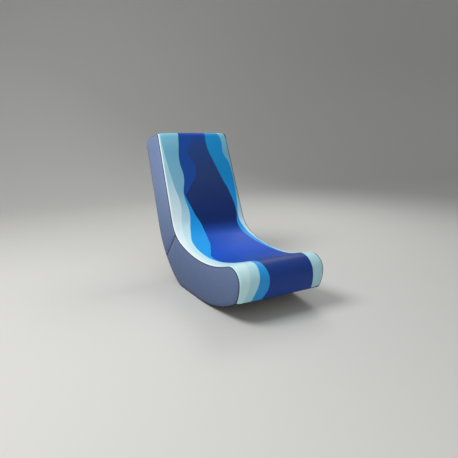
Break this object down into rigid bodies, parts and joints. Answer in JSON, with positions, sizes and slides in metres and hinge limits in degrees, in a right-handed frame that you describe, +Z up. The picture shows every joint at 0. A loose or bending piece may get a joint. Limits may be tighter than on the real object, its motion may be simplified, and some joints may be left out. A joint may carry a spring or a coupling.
{
  "type": "folding floor rocker chair",
  "caption": "Legless rocker chair: curved padded seat on a rounded base and a reclined padded back that folds forward onto the seat.",
  "frame": {"origin": "centre of the bounding box in X and Y, on the floor at the base's flat", "axes": "-Y is the way the chair faces (the seat's nose), +X is across the width towards the sitter's left hand, +Z is up"},
  "size_m": [0.43, 0.7947, 0.6779],
  "materials": {
    "printed_cover": "satin",
    "side_fabric": "matte",
    "black_fabric": "matte",
    "foam": "matte",
    "plywood": "matte",
    "hardboard": "matte",
    "steel": "satin",
    "screws": "satin"
  },
  "bodies": {
    "seat": {"fold_cover": "printed_cover", "hinge_leaf_seat_left": "steel", "hinge_leaf_seat_right": "steel", "hinge_pin_left": "steel", "hinge_pin_right": "steel", "hinge_screws_seat_left": "screws", "hinge_screws_seat_right": "screws", "seat_bottom_board": "plywood", "seat_bottom_rail": "plywood", "seat_cover": "printed_cover", "seat_deck": "hardboard", "seat_dust_cover": "black_fabric", "seat_end_cover": "black_fabric", "seat_foam": "foam", "seat_frame_screws_left": "screws", "seat_frame_screws_right": "screws", "seat_front_rail": "plywood", "seat_hinge_rail": "plywood", "seat_middle_rail": "plywood", "seat_rib_left": "plywood", "seat_rib_middle": "plywood", "seat_rib_right": "plywood", "seat_side_cover_left": "side_fabric", "seat_side_cover_right": "side_fabric", "seat_side_foam_left": "foam", "seat_side_foam_right": "foam"},
    "back": {"back_cover": "printed_cover", "back_deck": "hardboard", "back_end_cover": "black_fabric", "back_foam": "foam", "back_frame_screws_left": "screws", "back_frame_screws_right": "screws", "back_hinge_rail": "plywood", "back_lumbar_rail": "plywood", "back_rear_board": "hardboard", "back_rear_cover": "black_fabric", "back_rib_left": "plywood", "back_rib_right": "plywood", "back_side_cover_left": "side_fabric", "back_side_cover_right": "side_fabric", "back_side_foam_left": "foam", "back_side_foam_right": "foam", "back_top_rail": "plywood", "hinge_leaf_back_left": "steel", "hinge_leaf_back_right": "steel", "hinge_screws_back_left": "screws", "hinge_screws_back_right": "screws"}
  },
  "joints": [
    {"name": "back_fold", "type": "hinge", "parent": "seat", "child": "back", "pos_m": [0, 0.07565, 0.21194], "axis": [1, 0, 0], "range_deg": [0, 110], "deforming": ["fold_cover"]}
  ]
}
